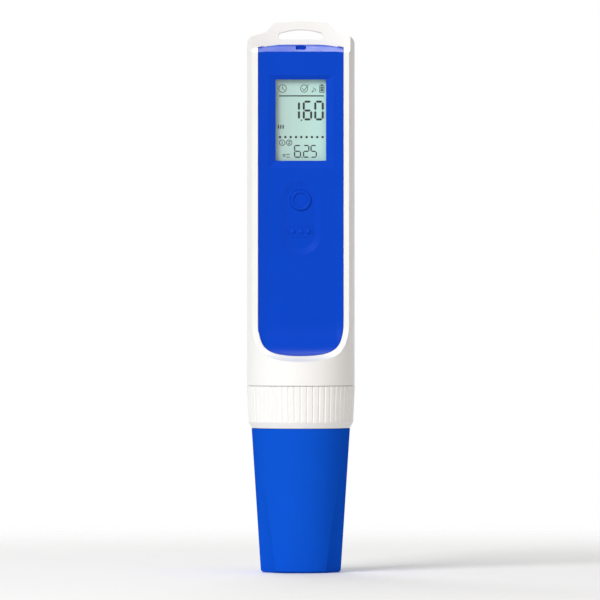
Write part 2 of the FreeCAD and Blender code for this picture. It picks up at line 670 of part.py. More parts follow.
def recess_cutter():
    """Shallow oblong recess for the keys, with a soft slope round its edge."""
    rim = rectangle(RECESS_HALF, RECESS_Z, RECESS_TOP_Z, RECESS_HALF - ROUND_END_FLAT)
    floor_half = RECESS_HALF - RECESS_SLOPE
    floor = rectangle(floor_half, RECESS_Z + RECESS_SLOPE, RECESS_TOP_Z - RECESS_SLOPE,
                      floor_half - ROUND_END_FLAT)
    wires = [
        rounded_outline(rim, lambda x, z: Vector(x, PANEL_Y, z)),
        rounded_outline(floor, lambda x, z: Vector(x, RECESS_Y, z)),
    ]
    return Part.makeLoft(wires, True, True)


def lower_key_plate(grow, y0, y1):
    """Oblong plate of the lower key."""
    end = LOWER_KEY_END_RADIUS + grow
    outline = rectangle(LOWER_KEY_HALF + grow, LOWER_KEY_Z - end, LOWER_KEY_Z + end, end - ROUND_END_FLAT)
    return front_prism(outline, y0, y1)


def panel_gasket():
    """Soft gasket pressed between the panel and the housing."""
    return gasket_groove()


def display_window():
    """Clear pane bonded behind the panel's window."""
    half = WINDOW_HALF + PANE_OVERLAP
    outline = rectangle(half, WINDOW_Z - PANE_OVERLAP, WINDOW_TOP_Z + PANE_OVERLAP, WINDOW_CORNER)
    return front_prism(outline, PANEL_BACK_Y, PANE_BACK_Y)


def lcd_module():
    """Glass sandwich of the display: a wide rear glass and a shorter front glass."""
    rear = block(-LCD_HALF, LCD_HALF, LCD_Y + LCD_THICKNESS / 2, LCD_BACK_Y, LCD_Z, LCD_TOP_Z)
    front = block(-LCD_HALF, LCD_HALF, LCD_Y, LCD_Y + LCD_THICKNESS / 2, LCD_Z + STRIP_WIDTH, LCD_TOP_Z)
    return rear.fuse(front).removeSplitter()


def light_guide():
    """Diffusing plate behind the display."""
    return block(-WINDOW_HALF, WINDOW_HALF, LCD_BACK_Y, BOARD_Y, WINDOW_Z, WINDOW_TOP_Z)


def zebra_strips():
    """Two elastomer strips that join the display's contacts to the board."""
    low = LCD_Z + FIT_GAP
    high = LCD_TOP_Z - FIT_GAP - STRIP_WIDTH
    strip = block(-WINDOW_HALF, WINDOW_HALF, LCD_BACK_Y, BOARD_Y, 0, STRIP_WIDTH)
    return Part.makeCompound([strip.translated(Vector(0, 0, z)) for z in (low, high)])


def lcd_frame():
    """Frame that holds the display on the board."""
    half = LCD_HALF + FIT_GAP + FRAME_WALL
    low = LCD_Z - FIT_GAP
    high = LCD_TOP_Z + FIT_GAP
    outer = block(-half, half, LCD_Y, BOARD_Y, low - FRAME_WALL, high + FRAME_WALL)
    inner_half = LCD_HALF + FIT_GAP
    return outer.cut(block(-inner_half, inner_half, -FAR, FAR, low, high))


def circuit_board():
    """Main board, with holes for its four screws."""
    board = block(-BOARD_HALF, BOARD_HALF, BOARD_Y, BOARD_BACK_Y, BOARD_Z, BOARD_TOP_Z)
    for x, z in board_screw_places():
        board = board.cut(stud(BOARD_SCREW_RADIUS + FIT_GAP, BOARD_Y - OVER, BOARD_BACK_Y + OVER, x, z))
    return board


def board_screw_places():
    """Places of the board's screws in the front view."""
    return [(side * BOARD_SCREW_SIDE, z) for side in (-1, 1) for z in BOARD_SCREW_HEIGHTS]


def board_chips():
    """Measuring chip, processor and radio chip on the back of the board."""
    back = BOARD_BACK_Y + CHIP_THICKNESS
    low = TRAY_TOP_Z + CHIP_RISE
    high = low + CHIP_PITCH
    chips = []
    for side, z, width in ((-1, low, CONVERTER_WIDTH), (1, low, PROCESSOR_WIDTH), (-1, high, RADIO_WIDTH)):
        low_x = side * CHIP_SIDE - width / 2
        chips.append(block(low_x, low_x + width, BOARD_BACK_Y, back, z, z + width))
    return Part.makeCompound(chips)


def board_screws():
    """Four small pan-head screws that hold the board on the tray's posts."""
    screws = []
    for x, z in board_screw_places():
        head = stud(BOARD_SCREW_HEAD_RADIUS, BOARD_Y - BOARD_SCREW_HEAD, BOARD_Y, x, z)
        shank = stud(BOARD_SCREW_RADIUS, BOARD_Y, BOARD_BACK_Y + BOARD_SCREW_BITE, x, z)
        screws.append(head.fuse(shank))
    return Part.makeCompound(screws)


def switch_front_y():
    """Front of the switch cases, which puts each plunger under its key at rest."""
    return key_post_y() + PLUNGER_PROUD


def key_post_y():
    """Rear end of the keys' posts."""
    return key_flange_y() + KEY_FLANGE_THICKNESS + KEY_TRAVEL_GAP


def key_flange_y():
    """Front of the flanges that keep the keys behind the panel."""
    return PANEL_BACK_Y + KEY_SEAT_GAP


def tactile_switches():
    """Two switch cases on the board, each with a well for its plunger."""
    cases = []
    half = SWITCH_SIDE / 2
    for z in (MODE_KEY_Z, LOWER_KEY_Z):
        case = block(-half, half, switch_front_y(), BOARD_Y, z - half, z + half)
        well = stud(PLUNGER_RADIUS + SWITCH_CLEARANCE, switch_front_y() - OVER,
                    key_post_y() + PLUNGER_LENGTH + PLUNGER_PROUD, 0, z)
        cases.append(case.cut(well))
    return Part.makeCompound(cases)


def plunger(z):
    """Switch plunger that the key pushes in."""
    return stud(PLUNGER_RADIUS, key_post_y(), key_post_y() + PLUNGER_LENGTH, 0, z)


def mode_key():
    """Round key with a raised ring, a retaining flange and a post."""
    front = RECESS_Y - MODE_KEY_PROUD
    key = stud(MODE_KEY_RADIUS, front, key_flange_y(), 0, MODE_KEY_Z)
    key = key.cut(stud(MODE_DISH_RADIUS, front - OVER, front + MODE_DISH_DEPTH, 0, MODE_KEY_Z))
    rim = [edge for edge in key.Edges if edge.BoundBox.YMax < front + TOUCH]
    key = key.makeFillet(KEY_EDGE_RADIUS, rim)
    back = key_flange_y() + KEY_FLANGE_THICKNESS
    flange = stud(MODE_KEY_RADIUS + KEY_FLANGE, key_flange_y(), back, 0, MODE_KEY_Z)
    return key.fuse(flange).fuse(stud(KEY_POST_RADIUS, back, key_post_y(), 0, MODE_KEY_Z))


def calibration_key():
    """Oblong key with three tactile bumps, a retaining flange and a post."""
    key = lower_key_plate(0.0, RECESS_Y, key_flange_y())
    dome_radius = (BUMP_RADIUS ** 2 + BUMP_PROUD ** 2) / (2 * BUMP_PROUD)
    for side in (-1, 0, 1):
        centre = Vector(side * BUMP_PITCH, RECESS_Y - BUMP_PROUD + dome_radius, LOWER_KEY_Z)
        key = key.fuse(Part.makeSphere(dome_radius, centre))
    back = key_flange_y() + KEY_FLANGE_THICKNESS
    key = key.fuse(lower_key_plate(KEY_FLANGE, key_flange_y(), back))
    return key.fuse(stud(KEY_POST_RADIUS, back, key_post_y(), 0, LOWER_KEY_Z))


def battery_tray():
    """Tray with two round-bottomed channels, end walls and posts for the board."""
    tray = block(-TRAY_HALF, TRAY_HALF, TRAY_Y, TRAY_BACK_Y, TRAY_Z, TRAY_TOP_Z)
    tray = tray.common(post(CAVITY_RADIUS - CELL_CLEARANCE, TRAY_Z - OVER, TRAY_TOP_Z + OVER))
    channel = CELL_RADIUS + CELL_CLEARANCE
    for side in (-1, 1):
        tray = tray.cut(post(channel, BAY_Z, BAY_TOP_Z, side * CELL_SIDE, CELL_Y))
    reach = CELL_SIDE + channel
    tray = tray.cut(block(-reach, reach, CELL_Y, FAR, BAY_Z, BAY_TOP_Z))
    for x, z in board_screw_places():
        tray = tray.fuse(stud(POST_RADIUS, BOARD_BACK_Y, TRAY_Y + TRAY_BASE / 2, x, z))
    hole_end = BOARD_BACK_Y + BOARD_SCREW_BITE
    for x, z in board_screw_places():
        tray = tray.cut(stud(BOARD_SCREW_RADIUS, BOARD_BACK_Y - OVER, hole_end, x, z))
    return tray


def cell(side):
    """Dry cell with its nub; the left one points up and the right one down."""
    body = post(CELL_RADIUS, 0, CELL_LENGTH - CELL_NUB)
    body = body.fuse(post(CELL_NUB_RADIUS, CELL_LENGTH - CELL_NUB, CELL_LENGTH))
    if side > 0:
        body.rotate(Vector(0, 0, 0), Vector(1, 0, 0), 180)
        body.translate(Vector(0, 0, CELL_LENGTH + PLATE_THICKNESS))
    else:
        body.translate(Vector(0, 0, SPRING_LENGTH))
    return body.translated(Vector(side * CELL_SIDE, CELL_Y, BAY_Z))


def coil(side):
    """Cone-shaped contact spring, drawn as stacked turns."""
    pitch = SPRING_LENGTH / SPRING_TURNS
    base = BAY_Z if side < 0 else BAY_TOP_Z
    grow = 1 if side < 0 else -1
    profile = [(0, 0)]
    for turn in range(SPRING_TURNS):
        radius = SPRING_RADIUS - turn * SPRING_TURN_STEP
        profile.append((radius, turn * pitch))
        profile.append((radius, (turn + SPRING_WIRE_SHARE) * pitch))
        profile.append((radius - SPRING_WIRE, (turn + 1) * pitch))
    profile.append((0, SPRING_LENGTH))
    spring = turned(profile)
    if grow < 0:
        spring.rotate(Vector(0, 0, 0), Vector(1, 0, 0), 180)
    return spring.translated(Vector(side * CELL_SIDE, CELL_Y, base))


def battery_springs():
    """Negative contacts, one under each cell's flat end."""
    return Part.makeCompound([coil(-1), coil(1)])


def battery_plates():
    """Positive contact plates."""
    low = block(-PLATE_HALF, PLATE_HALF, -PLATE_HALF, PLATE_HALF, 0, PLATE_THICKNESS)
    right = low.translated(Vector(CELL_SIDE, CELL_Y, BAY_Z))
    left = low.translated(Vector(-CELL_SIDE, CELL_Y, BAY_TOP_Z - PLATE_THICKNESS))
    return Part.makeCompound([left, right])


def door_inserts():
    """Two brass nuts pressed into the housing for the door's screws."""
    front = DOOR_PAD_Y - DOOR_GAP - INSERT_LENGTH
    inserts = []
    for height in DOOR_SCREW_HEIGHTS:
        body = stud(INSERT_RADIUS, front, front + INSERT_LENGTH, 0, height)
        inserts.append(body.cut(stud(SCREW_RADIUS + INSERT_CLEARANCE, front - OVER, FAR, 0, height)))
    return Part.makeCompound(inserts)


def battery_door():
    """Curved rear door with a hollow plug and two screw pads."""
    door = door_sector(BODY_RADIUS, DOOR_BACK_RADIUS, DOOR_HALF, DOOR_Z, DOOR_TOP_Z)
    plug_half = DOOR_HOLE_HALF - DOOR_GAP
    low = DOOR_HOLE_Z + DOOR_GAP
    high = DOOR_HOLE_TOP_Z - DOOR_GAP
    plug = door_sector(DOOR_BACK_RADIUS, DOOR_BACK_RADIUS - DOOR_PLUG_DEPTH, plug_half, low, high)
    inner = plug_half - DOOR_PLUG_WALL
    plug = plug.cut(block(-inner, inner, 0, FAR, low + DOOR_PLUG_WALL, high - DOOR_PLUG_WALL))
    door = door.fuse(plug)
    outside = post(BODY_RADIUS, DOOR_Z, DOOR_TOP_Z)
    for height in DOOR_SCREW_HEIGHTS:
        pad = stud(DOOR_PAD_RADIUS, DOOR_PAD_Y, BODY_RADIUS + OVER, 0, height)
        door = door.fuse(pad.common(outside))
    for height in DOOR_SCREW_HEIGHTS:
        door = door.cut(stud(SCREW_HEAD_RADIUS + COUNTERBORE_GAP, SCREW_HEAD_Y, FAR, 0, height))
        door = door.cut(stud(SCREW_RADIUS + COUNTERBORE_GAP, 0, FAR, 0, height))
    return door.removeSplitter()


def door_gasket():
    """Curved gasket band round the battery opening, under the door's skin."""
    band = door_sector(DOOR_BACK_RADIUS, DOOR_SEAT_RADIUS, DOOR_HOLE_HALF + GASKET_WIDTH,
                       DOOR_HOLE_Z - GASKET_WIDTH, DOOR_HOLE_TOP_Z + GASKET_WIDTH)
    return band.cut(block(-DOOR_HOLE_HALF, DOOR_HOLE_HALF, 0, FAR, DOOR_HOLE_Z, DOOR_HOLE_TOP_Z))


def door_screws():
    """Two slotted screws that stay with the door."""
    screws = []
    for height in DOOR_SCREW_HEIGHTS:
        head = stud(SCREW_HEAD_RADIUS, SCREW_HEAD_Y, SCREW_HEAD_Y + SCREW_HEAD, 0, height)
        floor_y = SCREW_HEAD_Y + SCREW_HEAD - SCREW_SLOT_DEPTH
        half = SCREW_SLOT_WIDTH / 2
        slot = block(-SCREW_HEAD_RADIUS, SCREW_HEAD_RADIUS, floor_y, FAR, height - half, height + half)
        shank = stud(SCREW_RADIUS, SCREW_HEAD_Y - SCREW_LENGTH, SCREW_HEAD_Y, 0, height)
        screws.append(head.cut(slot).fuse(shank))
    return Part.makeCompound(screws)


def probe_socket():
    """Socket block pressed up against the shoulder in the housing, with holes for the pins."""
    block_z = PLUG_TOP_Z + SOCKET_GAP
    socket = post(SOCKET_BORE_RADIUS - FIT_GAP / 2, block_z, SHOULDER_Z)
    socket = socket.fuse(post(WIRE_WELL_RADIUS - FIT_GAP, SHOULDER_Z, CAVITY_Z))
    for x, y in pin_places():
        socket = socket.cut(post(PIN_RADIUS + PIN_CLEARANCE, block_z - OVER, SHOULDER_Z + OVER, x, y))
    return socket


def signal_ribbon():
    """Flat ribbon from the socket up to the back of the board."""
    return block(-RIBBON_HALF, RIBBON_HALF, BOARD_BACK_Y, BOARD_BACK_Y + RIBBON_THICKNESS, CAVITY_Z,
                 BOARD_Z + RIBBON_LAP)


def pin_places():
    """Places of the probe's contact pins about the pen's axis."""
    angles = [2 * math.pi * index / PIN_COUNT for index in range(PIN_COUNT)]
    return [(PIN_CIRCLE * math.cos(angle), PIN_CIRCLE * math.sin(angle)) for angle in angles]


def groove_bottom(outer_radius):
    """Radius of a seal groove's floor."""
    return outer_radius - RING_THICKNESS


def probe_body():
    """Stepped probe body: plug, flange that the collar lifts, neck for the cap and sensor core."""
    plug_seal = SOCKET_BORE_RADIUS - RING_CLEARANCE
    cap_seal = CAP_SEAL_RADIUS - RING_CLEARANCE
    plug_ring_z = FLANGE_TOP_Z + PLUG_RING_RISE
    cap_ring_z = FLANGE_Z - CAP_RING_DROP
    flange_radius = COLLAR_BORE_RADIUS - FLANGE_CLEARANCE
    half = RING_GROOVE_WIDTH / 2
    body = turned([
        (0, CORE_Z),
        (CORE_RADIUS, CORE_Z),
        (CORE_RADIUS, NECK_Z),
        (NECK_RADIUS, NECK_Z),
        (NECK_RADIUS, cap_ring_z - half),
        (groove_bottom(cap_seal), cap_ring_z - half),
        (groove_bottom(cap_seal), cap_ring_z + half),
        (NECK_RADIUS, cap_ring_z + half),
        (NECK_RADIUS, FLANGE_Z),
        (flange_radius, FLANGE_Z),
        (flange_radius, FLANGE_TOP_Z),
        (PLUG_RADIUS, FLANGE_TOP_Z),
        (PLUG_RADIUS, plug_ring_z - half),
        (groove_bottom(plug_seal), plug_ring_z - half),
        (groove_bottom(plug_seal), plug_ring_z + half),
        (PLUG_RADIUS, plug_ring_z + half),
        (PLUG_RADIUS, PLUG_TOP_Z - PLUG_CHAMFER),
        (PLUG_RADIUS - PLUG_CHAMFER, PLUG_TOP_Z),
        (0, PLUG_TOP_Z),
    ])
    body = body.cut(post(GLASS_STEM_RADIUS + SENSOR_CLEARANCE, CORE_Z - OVER, CORE_Z + GLASS_DEPTH,
                         GLASS_X))
    body = body.cut(post(JUNCTION_RADIUS + SENSOR_CLEARANCE, CORE_Z - OVER, CORE_Z + JUNCTION_DEPTH,
                         SIDE_SENSOR_X, -SIDE_SENSOR_Y))
    body = body.cut(post(THERMISTOR_RADIUS + SENSOR_CLEARANCE, CORE_Z - OVER, CORE_Z + THERMISTOR_DEPTH,
                         SIDE_SENSOR_X, SIDE_SENSOR_Y))
    for side in (-1, 1):
        body = body.cut(post(CELL_PIN_RADIUS + SENSOR_CLEARANCE, CORE_Z - OVER, CORE_Z + CELL_PIN_DEPTH,
                             CELL_PIN_X, side * CELL_PIN_SIDE))
    for x, y in pin_places():
        body = body.cut(post(PIN_RADIUS, PLUG_TOP_Z - PIN_ROOT, PLUG_TOP_Z + OVER, x, y))
    return body


def probe_guard():
    """Slotted tube that shields the sensors."""
    low = NECK_Z - GUARD_LENGTH
    guard = post(GUARD_RADIUS, low, NECK_Z)
    guard = guard.cut(post(CORE_RADIUS + GUARD_CLEARANCE, low - OVER, NECK_Z + OVER))
    half = GUARD_WINDOW_WIDTH / 2
    window_z = low + GUARD_WINDOW_RISE
    window = block(0, FAR, -half, half, window_z, window_z + GUARD_WINDOW_HEIGHT)
    for index in range(GUARD_WINDOW_COUNT):
        cut = window.copy()
        cut.rotate(Vector(0, 0, 0), Vector(0, 0, 1), 90 + 360 / GUARD_WINDOW_COUNT * index)
        guard = guard.cut(cut)
    return guard


def probe_pins():
    """Six contact pins in the top of the plug."""
    pins = [post(PIN_RADIUS, PLUG_TOP_Z - PIN_ROOT, PLUG_TOP_Z + PIN_LENGTH, x, y) for x, y in pin_places()]
    return Part.makeCompound(pins)


def plug_ring():
    """Seal ring on the probe's plug."""
    return ring(SOCKET_BORE_RADIUS - RING_CLEARANCE, FLANGE_TOP_Z + PLUG_RING_RISE)


def cap_ring():
    """Seal ring on the neck, which holds and seals the storage cap."""
    return ring(CAP_SEAL_RADIUS - RING_CLEARANCE, FLANGE_Z - CAP_RING_DROP)


def ph_glass():
    """Thin glass tube with a round bulb at its lower end."""
    bulb_z = CORE_Z - GLASS_DROP
    top = CORE_Z + GLASS_DEPTH
    centre = Vector(0, 0, bulb_z)
    outer = post(GLASS_STEM_RADIUS, bulb_z, top).fuse(Part.makeSphere(GLASS_BULB_RADIUS, centre))
    hollow = post(GLASS_STEM_RADIUS - GLASS_WALL, bulb_z, top + OVER)
    hollow = hollow.fuse(Part.makeSphere(GLASS_BULB_RADIUS - GLASS_WALL, centre))
    return outer.cut(hollow).translated(Vector(GLASS_X, 0, 0))


def reference_wire():
    """Silver wire inside the glass."""
    return post(WIRE_RADIUS, CORE_Z - GLASS_DROP, CORE_Z + GLASS_DEPTH, GLASS_X)


def reference_junction():
    """Porous plug through which the reference cell meets the liquid."""
    return post(JUNCTION_RADIUS, CORE_Z - JUNCTION_DROP, CORE_Z + JUNCTION_DEPTH,
                SIDE_SENSOR_X, -SIDE_SENSOR_Y)


def conductivity_pins():
    """Pair of pins between which conductivity is measured."""
    pins = [post(CELL_PIN_RADIUS, CORE_Z - CELL_PIN_DROP, CORE_Z + CELL_PIN_DEPTH, CELL_PIN_X,
                 side * CELL_PIN_SIDE) for side in (-1, 1)]
    return Part.makeCompound(pins)


def temperature_sensor():
    """Steel sleeve with a round nose, which holds the thermistor."""
    nose = CORE_Z - THERMISTOR_DROP + THERMISTOR_RADIUS
    sleeve = post(THERMISTOR_RADIUS, nose, CORE_Z + THERMISTOR_DEPTH)
    sleeve = sleeve.fuse(Part.makeSphere(THERMISTOR_RADIUS, Vector(0, 0, nose)))
    return sleeve.translated(Vector(SIDE_SENSOR_X, SIDE_SENSOR_Y, 0))


def collar_ring():
    """Screw collar with fine upright grooves, a foot chamfer and a lip under the probe's flange."""
    chamfer_z = COLLAR_Z + COLLAR_CHAMFER
    collar = turned([
        (LIP_RADIUS, COLLAR_Z),
        (COLLAR_FOOT_RADIUS, COLLAR_Z),
        (COLLAR_WAIST_RADIUS, chamfer_z),
        (COLLAR_TOP_RADIUS, COLLAR_TOP_Z),
        (COLLAR_BORE_RADIUS, COLLAR_TOP_Z),
        (COLLAR_BORE_RADIUS, COLLAR_Z + COLLAR_LIP),
        (LIP_RADIUS, COLLAR_Z + COLLAR_LIP),
    ])
    lean = (COLLAR_TOP_RADIUS - COLLAR_WAIST_RADIUS) / (COLLAR_TOP_Z - chamfer_z)
    low = Vector(COLLAR_WAIST_RADIUS - GROOVE_DEPTH, 0, chamfer_z)
    rise = Vector(lean, 0, 1) * (COLLAR_TOP_Z - chamfer_z + OVER)
    mouth = 2 * GROOVE_DEPTH
    spread = GROOVE_WIDTH
    corners = [low, low + Vector(mouth, spread, 0), low + Vector(mouth, -spread, 0), low]
    groove = Part.Face(Part.makePolygon(corners)).extrude(rise)
    grooves = []
    for index in range(GROOVE_COUNT):
        turned_groove = groove.copy()
        turned_groove.rotate(Vector(0, 0, 0), Vector(0, 0, 1), 360 / GROOVE_COUNT * index - 90)
        grooves.append(turned_groove)
    return collar.cut(Part.makeCompound(grooves))


def storage_cap():
    """Tapered cap with a flat base, a seal bore at its mouth and three finger scoops."""
    bore_top = CAP_LENGTH - CAP_SEAL_DEPTH
    corner = CAP_EDGE_RADIUS
    edge_out = CAP_BASE_RADIUS + CAP_TAPER * corner
    points = [
        Vector(0, 0, 0),
        Vector(edge_out - corner, 0, 0),
        Vector(edge_out, 0, corner),
        Vector(CAP_TOP_RADIUS, 0, CAP_LENGTH),
        Vector(CAP_SEAL_RADIUS, 0, CAP_LENGTH),
        Vector(CAP_SEAL_RADIUS, 0, bore_top),
        Vector(CAP_BORE_NECK_RADIUS, 0, bore_top),
        Vector(CAP_BORE_BASE_RADIUS, 0, CAP_FLOOR),
        Vector(0, 0, CAP_FLOOR),
    ]
    edges = Part.makePolygon(points + points[:1]).Edges
    bow = corner * math.sqrt(0.5)
    middle = Vector(edge_out - corner + bow, 0, corner - bow)
    edges[1] = Part.Arc(points[1], middle, points[2]).toShape()
    cap = Part.Face(Part.Wire(edges)).revolve(Vector(0, 0, 0), Vector(0, 0, 1), 360)
    return cap.cut(Part.makeCompound(finger_scoops()))


def finger_scoops():
    """Leaning cylinders that hollow the cap's sides towards its base."""
    tip = Vector(CAP_BASE_RADIUS + CAP_TAPER * FINGER_SCOOP_HEIGHT, 0, FINGER_SCOOP_HEIGHT)
    base = Vector(CAP_BASE_RADIUS - FINGER_SCOOP_DEPTH, 0, 0)
    lean = (tip - base).normalize()
    outward = Vector(lean.z, 0, -lean.x)
    start = base + outward * FINGER_SCOOP_RADIUS - lean * FINGER_SCOOP_HEIGHT
    cutter = Part.makeCylinder(FINGER_SCOOP_RADIUS, 3 * FINGER_SCOOP_HEIGHT, start, lean)
    scoops = []
    for index in range(FINGER_SCOOP_COUNT):
        scoop = cutter.copy()
        azimuth = FINGER_SCOOP_AZIMUTH - 90 + 360 / FINGER_SCOOP_COUNT * index
        scoop.rotate(Vector(0, 0, 0), Vector(0, 0, 1), azimuth)
        scoops.append(scoop)
    return scoops


def storage_sponge():
    """Wet sponge on the floor of the cap."""
    return post(CAP_BORE_BASE_RADIUS - SPONGE_CLEARANCE, CAP_FLOOR, CAP_FLOOR + SPONGE_THICKNESS)


PARTS = {
    "housing": housing,
    "face_panel": face_panel,
    "panel_gasket": panel_gasket,
    "display_window": display_window,
    "lcd_module": lcd_module,
    "light_guide": light_guide,
    "zebra_strips": zebra_strips,
    "lcd_frame": lcd_frame,
    "circuit_board": circuit_board,
    "board_chips": board_chips,
    "board_screws": board_screws,
    "tactile_switches": tactile_switches,
    "mode_plunger": lambda: plunger(MODE_KEY_Z),
    "calibration_plunger": lambda: plunger(LOWER_KEY_Z),
    "mode_key": mode_key,
    "calibration_key": calibration_key,
    "battery_tray": battery_tray,
    "left_cell": lambda: cell(-1),
    "right_cell": lambda: cell(1),
    "battery_springs": battery_springs,
    "battery_plates": battery_plates,
    "door_inserts": door_inserts,
    "battery_door": battery_door,
    "door_gasket": door_gasket,
    "door_screws": door_screws,
    "probe_socket": probe_socket,
    "signal_ribbon": signal_ribbon,
    "probe_body": probe_body,
    "probe_guard": probe_guard,
    "probe_pins": probe_pins,
    "plug_ring": plug_ring,
    "cap_ring": cap_ring,
    "ph_glass": ph_glass,
    "reference_wire": reference_wire,
    "reference_junction": reference_junction,
    "conductivity_pins": conductivity_pins,
    "temperature_sensor": temperature_sensor,
    "collar_ring": collar_ring,
    "storage_cap": storage_cap,
    "storage_sponge": storage_sponge,
}

os.makedirs("parts", exist_ok=True)
for node, make in PARTS.items():
    shape = make()
    print(node, "valid" if shape.isValid() else "NOT VALID", len(shape.Solids), round(shape.Volume, 2))
    shape.exportStep("parts/" + node + ".step")
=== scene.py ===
import math

import bmesh
import bpy
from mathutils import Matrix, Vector


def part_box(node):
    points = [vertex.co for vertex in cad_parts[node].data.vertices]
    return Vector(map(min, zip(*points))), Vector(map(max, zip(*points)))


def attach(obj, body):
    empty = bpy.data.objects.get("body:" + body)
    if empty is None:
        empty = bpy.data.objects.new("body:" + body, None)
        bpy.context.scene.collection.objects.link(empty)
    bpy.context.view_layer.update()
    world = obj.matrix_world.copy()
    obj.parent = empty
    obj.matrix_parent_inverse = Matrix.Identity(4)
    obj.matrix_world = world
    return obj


MM = 0.001

# Camera: a straight front view through a long lens
PHOTO_PIXELS = 600
PIXEL = 0.34577 * MM
PEN_CENTRE_PIXEL = 300.8
PEN_BASE_PIXEL = 571.8
CAMERA_DISTANCE = 2.5
SENSOR_WIDTH = 36.0

# Lights: where each stands, the point that it faces, its size in metres and its power in watts
KEY = dict(place=(-0.85, -1.25, 1.05), aim=(0, 0, 0.1), size=0.9, power=23.0)
FILL = dict(place=(0.7, -1.2, 0.35), aim=(0, 0, 0.09), size=1.3, power=3.9, colour=(1.0, 0.84, 0.7))
BACK = dict(place=(-0.25, 1.3, 0.8), aim=(0, 0, 0.12), size=0.9, power=10.0)
SHEEN = dict(place=(0.035, 0.012, 0.48), aim=(0.035, 0.012, 0), size=0.08, power=2.4)
SHEEN_DEPTH = 0.03
AMBIENT = 0.27

# Floor
FLOOR_SIDES = 96
FLOOR_RADIUS = 0.55
FLOOR_FADE_START = 0.18
FLOOR_DROP = 0.1 * MM
FLOOR_GRAIN = 60.0
FLOOR_DARKEST = 0.90
FLOOR_LIGHTEST = 0.94
FLOOR_LIFT = 0.08
CONTACT_REACH = 1.0 * MM

# Surfaces: most of the noise that varies them lies between its low and its high value
CLOUD_DETAIL = 4.0
GRAIN_DETAIL = 3.0
NOISE_LOW = 0.3
NOISE_HIGH = 0.7
LOWEST_ROUGHNESS = 0.02
RELIEF_STRENGTH = 0.4
EDGE_SAMPLES = 8

# Two inputs of the surface shader
GLOSS = "Specular IOR Level"
METAL = "Metallic"

# Clear pane over the display
PANE_TINT = (0.97, 0.99, 0.985, 1)
PANE_SMEAR = 220.0
PANE_CLEANEST = 0.02
PANE_DULLEST = 0.14
PANE_REFRACTION = 1.25

# Display: half its visible width in millimetres, and the strength of the painted glow that is added to its
# colour
DISPLAY_HALF_WIDTH = 8.7
DISPLAY_PAINTED_GLOW = 0.05

# Lower edge of the copper-coloured band, as a share of a battery's length
CELL_BAND = 0.78

# Thread on the housing's lower end, in millimetres
THREAD_ROOT = 15.3
THREAD_CREST = 15.88
THREAD_ROOT_RISE = 0.55
THREAD_CREST_RISE = 0.2
THREAD_PITCH = 2.0
THREAD_LOW = 55.2
THREAD_TURNS = 4
THREAD_STEPS = 48

# Dark marks on the display: depths in millimetres, strokes in pixels of the photograph
MARK_FRONT = -4.99
MARK_BACK = -4.965
BIG_STROKE = 2.1
SMALL_STROKE = 1.2
FINE_STROKE = 0.6
DOT_SIDES = 16
ARC_STEP = 18

# Seven-segment figures: each segment's two ends, in widths across and half heights down, and the
# segments of each figure
SEGMENTS = {
    "a": ((0, 0), (1, 0)),
    "b": ((1, 0), (1, 1)),
    "c": ((1, 1), (1, 2)),
    "d": ((0, 2), (1, 2)),
    "e": ((0, 1), (0, 2)),
    "f": ((0, 0), (0, 1)),
    "g": ((0, 1), (1, 1)),
}
FIGURES = {"0": "abcdef", "1": "bc", "2": "abged", "5": "afgcd", "6": "afgcde"}

# Where a segment's point starts and where it has its full width, as shares of its stroke
SEGMENT_TIP = 0.25
SEGMENT_SHOULDER = 0.7

# Readings: figure, left edge and right edge, in columns of the photograph
UPPER_READING = (("1", 292.6, 300), ("6", 302.7, 312.2), ("0", 314.2, 323.7))
LOWER_READING = (("6", 294, 301), ("2", 303, 309.4), ("5", 310.4, 316.8))


def pixel_x(x):
    """Millimetres to the right of the pen's axis, from a column of the photograph."""
    return (x - PEN_CENTRE_PIXEL) * PIXEL / MM


def pixel_z(y):
    """Millimetres above the pen's base, from a row of the photograph."""
    return (PEN_BASE_PIXEL - y) * PIXEL / MM


def add_camera():
    """Camera level with the middle of the photograph, which sees the pen at its size there."""
    data = bpy.data.cameras.new("camera")
    data.sensor_width = SENSOR_WIDTH
    data.lens = SENSOR_WIDTH * CAMERA_DISTANCE / (PHOTO_PIXELS * PIXEL)
    camera = bpy.data.objects.new("camera", data)
    middle = PHOTO_PIXELS / 2
    camera.location = (pixel_x(middle) * MM, -CAMERA_DISTANCE, pixel_z(middle) * MM)
    camera.rotation_euler = (math.pi / 2, 0, 0)
    bpy.context.scene.collection.objects.link(camera)
    bpy.context.scene.camera = camera


def add_light(name, place, aim, size, power, colour=(1, 1, 1)):
    """Square soft light that faces a point."""
    data = bpy.data.lights.new(name, "AREA")
    data.size = size
    data.energy = power
    data.color = colour
    light = bpy.data.objects.new(name, data)
    light.location = place
    direction = Vector(aim) - Vector(place)
    light.rotation_euler = direction.to_track_quat("-Z", "Y").to_euler()
    bpy.context.scene.collection.objects.link(light)
    return light


def add_lights():
    """Key light, warm fill, light from behind, and a narrow one that only gives gloss."""
    add_light("key", **KEY)
    fill = add_light("fill", **FILL)
    fill.visible_glossy = False
    add_light("back", **BACK)
    sheen = add_light("sheen", **SHEEN)
    sheen.data.shape = "RECTANGLE"
    sheen.data.size_y = SHEEN_DEPTH
    sheen.visible_diffuse = False


class Nodes:
    """Short way to build the nodes of a material or of the world."""

    def __init__(self, tree):
        self.tree = tree

    def add(self, kind, inputs=None, **settings):
        """New node with its settings. An input takes a value, or the output that feeds it."""
        node = self.tree.nodes.new(kind)
        for key, value in settings.items():
            setattr(node, key, value)
        for key, value in (inputs or {}).items():
            if isinstance(value, bpy.types.NodeSocket):
                self.link(value, node.inputs[key])
            else:
                node.inputs[key].default_value = value
        return node

    def maths(self, operation, first, second):
        """Result of a sum with two values."""
        return self.add("ShaderNodeMath", {0: first, 1: second}, operation=operation).outputs[0]

    def link(self, start, end):
        """Link from an output to an input."""
        self.tree.links.new(start, end)


